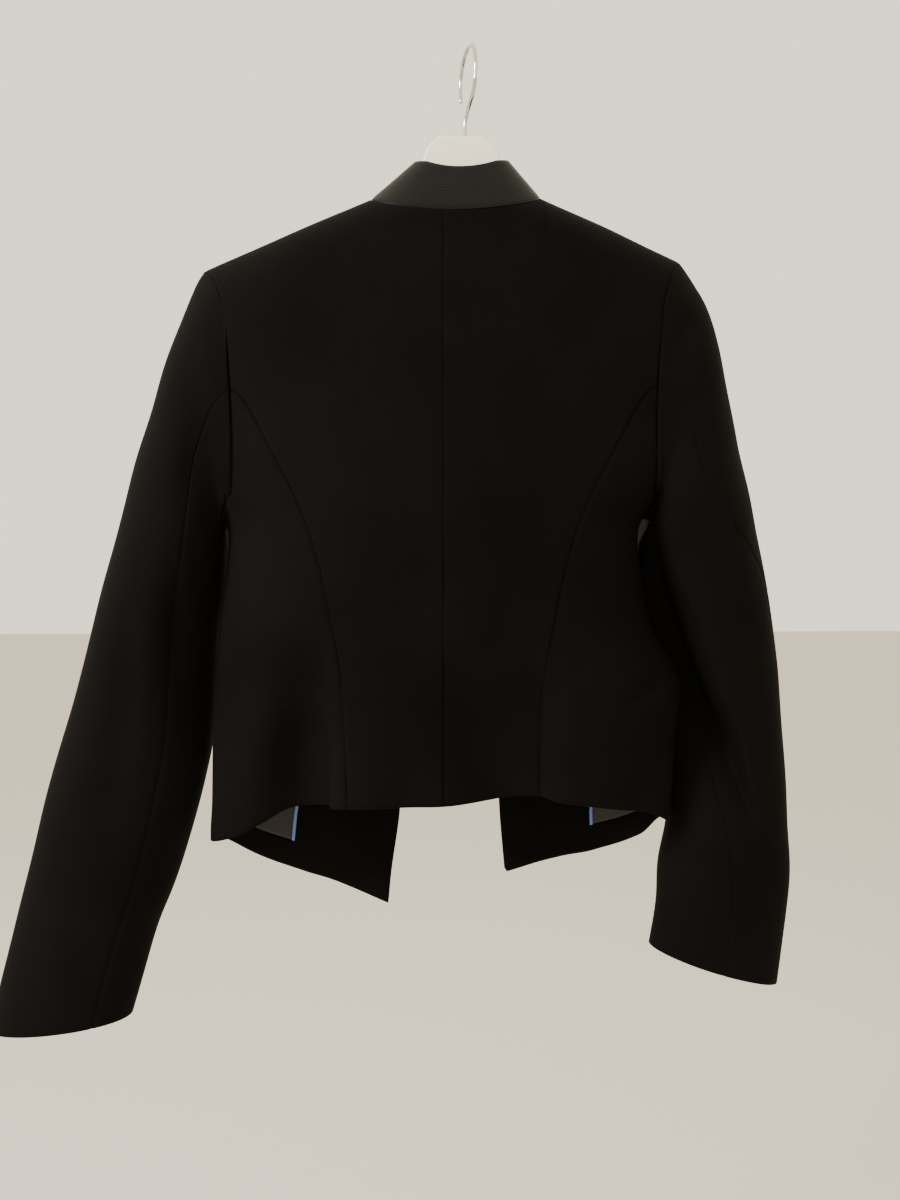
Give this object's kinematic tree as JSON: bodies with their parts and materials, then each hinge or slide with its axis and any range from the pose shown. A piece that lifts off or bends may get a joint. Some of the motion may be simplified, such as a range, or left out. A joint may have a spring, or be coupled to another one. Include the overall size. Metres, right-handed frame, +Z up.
{
  "type": "blazer on a hanger",
  "caption": "Cropped dark blazer with long two-piece sleeves, a stand collar and curved back seams, hanging open on a broad white hanger with a wire hook.",
  "frame": {"origin": "inside of the hook's top, where a rail carries the hanger", "axes": "+Z up; -Y out of the garment's back, the side that the picture shows; +X to the wearer's right"},
  "size_m": [0.6865, 0.1342, 0.8177],
  "materials": {
    "suiting": "near-black fine plain-woven suiting with a soft bloom",
    "collar_satin": "charcoal grey-green satin",
    "lining": "dark grey smooth lining",
    "piping": "blue satin piping",
    "hanger_plastic": "moulded white plastic",
    "hook_chrome": "polished bent wire"
  },
  "bodies": {
    "root": {"back_left": "suiting", "back_right": "suiting", "collar": "collar_satin", "facing_left": "suiting", "facing_right": "suiting", "front_left": "suiting", "front_right": "suiting", "hanger": "hanger_plastic", "hook": "hook_chrome", "lining_left": "lining", "lining_right": "lining", "piping_left": "piping", "piping_right": "piping", "side_back_left": "suiting", "side_back_right": "suiting", "top_sleeve_left": "suiting", "top_sleeve_right": "suiting", "under_sleeve_left": "suiting", "under_sleeve_right": "suiting"}
  },
  "joints": []
}
